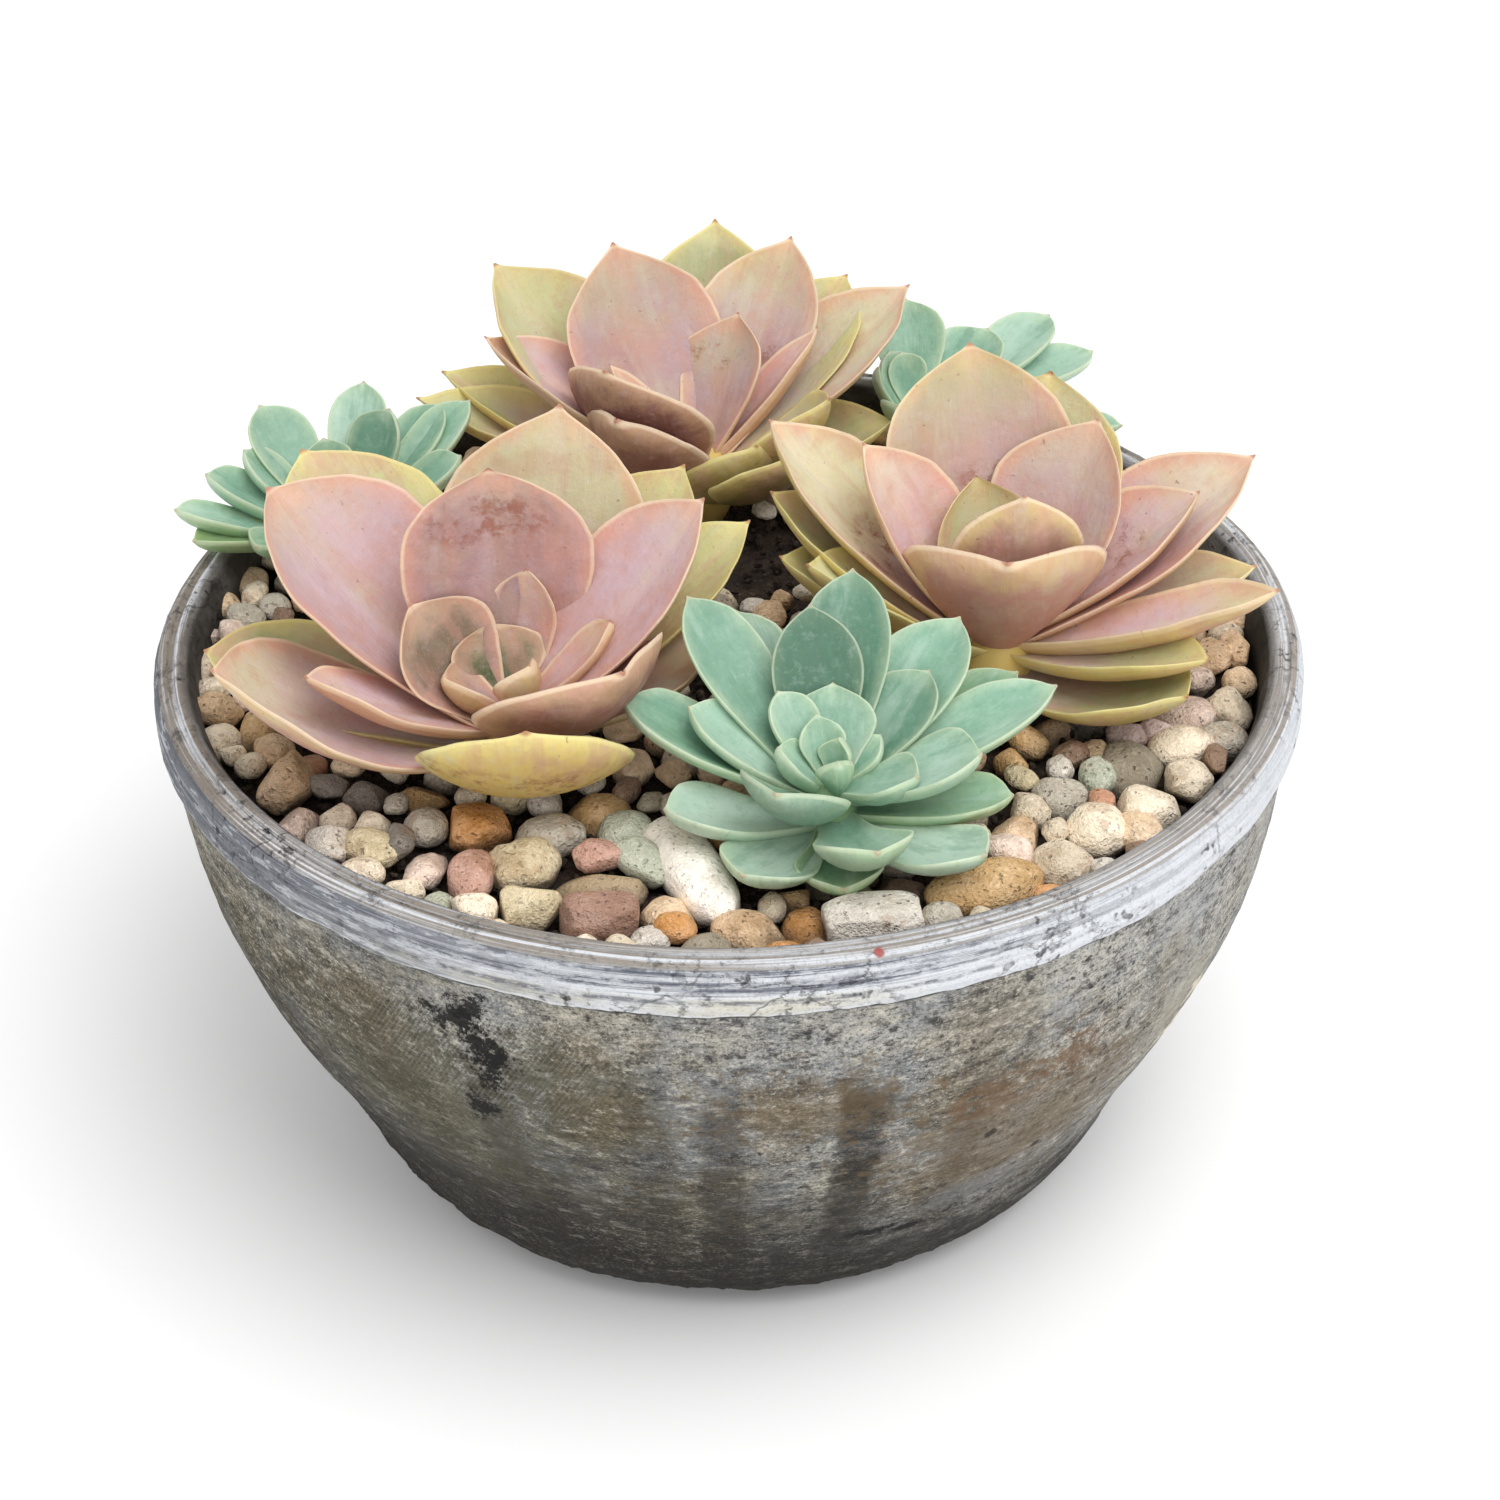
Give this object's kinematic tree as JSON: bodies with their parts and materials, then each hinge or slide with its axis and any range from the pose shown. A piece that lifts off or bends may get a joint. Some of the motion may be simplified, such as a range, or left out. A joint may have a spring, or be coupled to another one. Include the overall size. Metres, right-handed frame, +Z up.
{
  "type": "succulent dish garden",
  "caption": "Round clay bowl of soil and river pebbles planted with large pink and small blue-green echeveria rosettes.",
  "frame": {"origin": "the middle of the bowl's foot, on the surface that it stands on, which is also the middle of the bottom of the bounding box", "axes": "+Z up along the bowl's axis; -Y is the side that the picture looks from, with the white stone; +X to the right of it"},
  "size_m": [0.27, 0.2737, 0.1903],
  "materials": {
    "aged_clay": "matte, weathered",
    "potting_soil": "rough",
    "river_pebbles": "matte, water-worn",
    "white_stone": "satin, water-worn",
    "tan_stone": "satin, water-worn",
    "grey_block_stone": "matte, broken",
    "pink_block_stone": "matte, broken",
    "cream_round_stone": "matte, water-worn",
    "ochre_stone": "matte, water-worn",
    "pink_leaf": "matte, waxy bloom",
    "green_leaf": "matte, waxy bloom"
  },
  "bodies": {
    "root": {"bowl": "aged_clay", "soil": "potting_soil", "gravel": "river_pebbles", "white_stone": "white_stone", "tan_stone": "tan_stone", "grey_block_stone": "grey_block_stone", "pink_block_stone": "pink_block_stone", "cream_round_stone": "cream_round_stone", "ochre_stone_left": "ochre_stone", "pink_rosette_left": "pink_leaf", "pink_rosette_back": "pink_leaf", "pink_rosette_right": "pink_leaf", "green_rosette_front": "green_leaf", "green_rosette_left": "green_leaf", "green_rosette_back": "green_leaf"}
  },
  "joints": []
}
